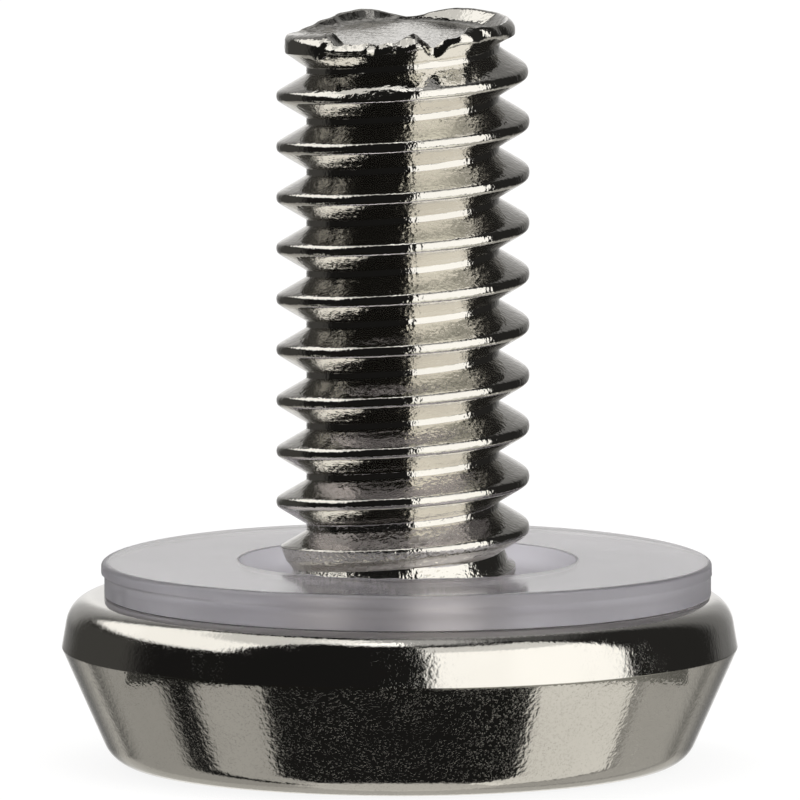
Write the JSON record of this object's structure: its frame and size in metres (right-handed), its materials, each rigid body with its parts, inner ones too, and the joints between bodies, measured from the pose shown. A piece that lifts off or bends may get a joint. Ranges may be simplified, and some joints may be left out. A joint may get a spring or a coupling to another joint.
{
  "type": "server rack screw",
  "caption": "Wide-headed plated steel machine screw with a tapered head, coarse thread and flat plastic washer, for bolting equipment flanges to a server rack.",
  "frame": {"origin": "middle of the drive face, on the floor that the screw's head stands on", "axes": "+Z along the shank from the head to the tip; -Y towards the viewer of the picture, +X to the right"},
  "size_m": [0.014, 0.014, 0.0156],
  "materials": {
    "plating": "bright nickel plating on steel, with a fine pebbled grain",
    "washer_plastic": "clear greyish plastic, punched from sheet, glossy on its faces"
  },
  "bodies": {
    "root": {"screw": "plating", "washer": "washer_plastic"}
  },
  "joints": []
}
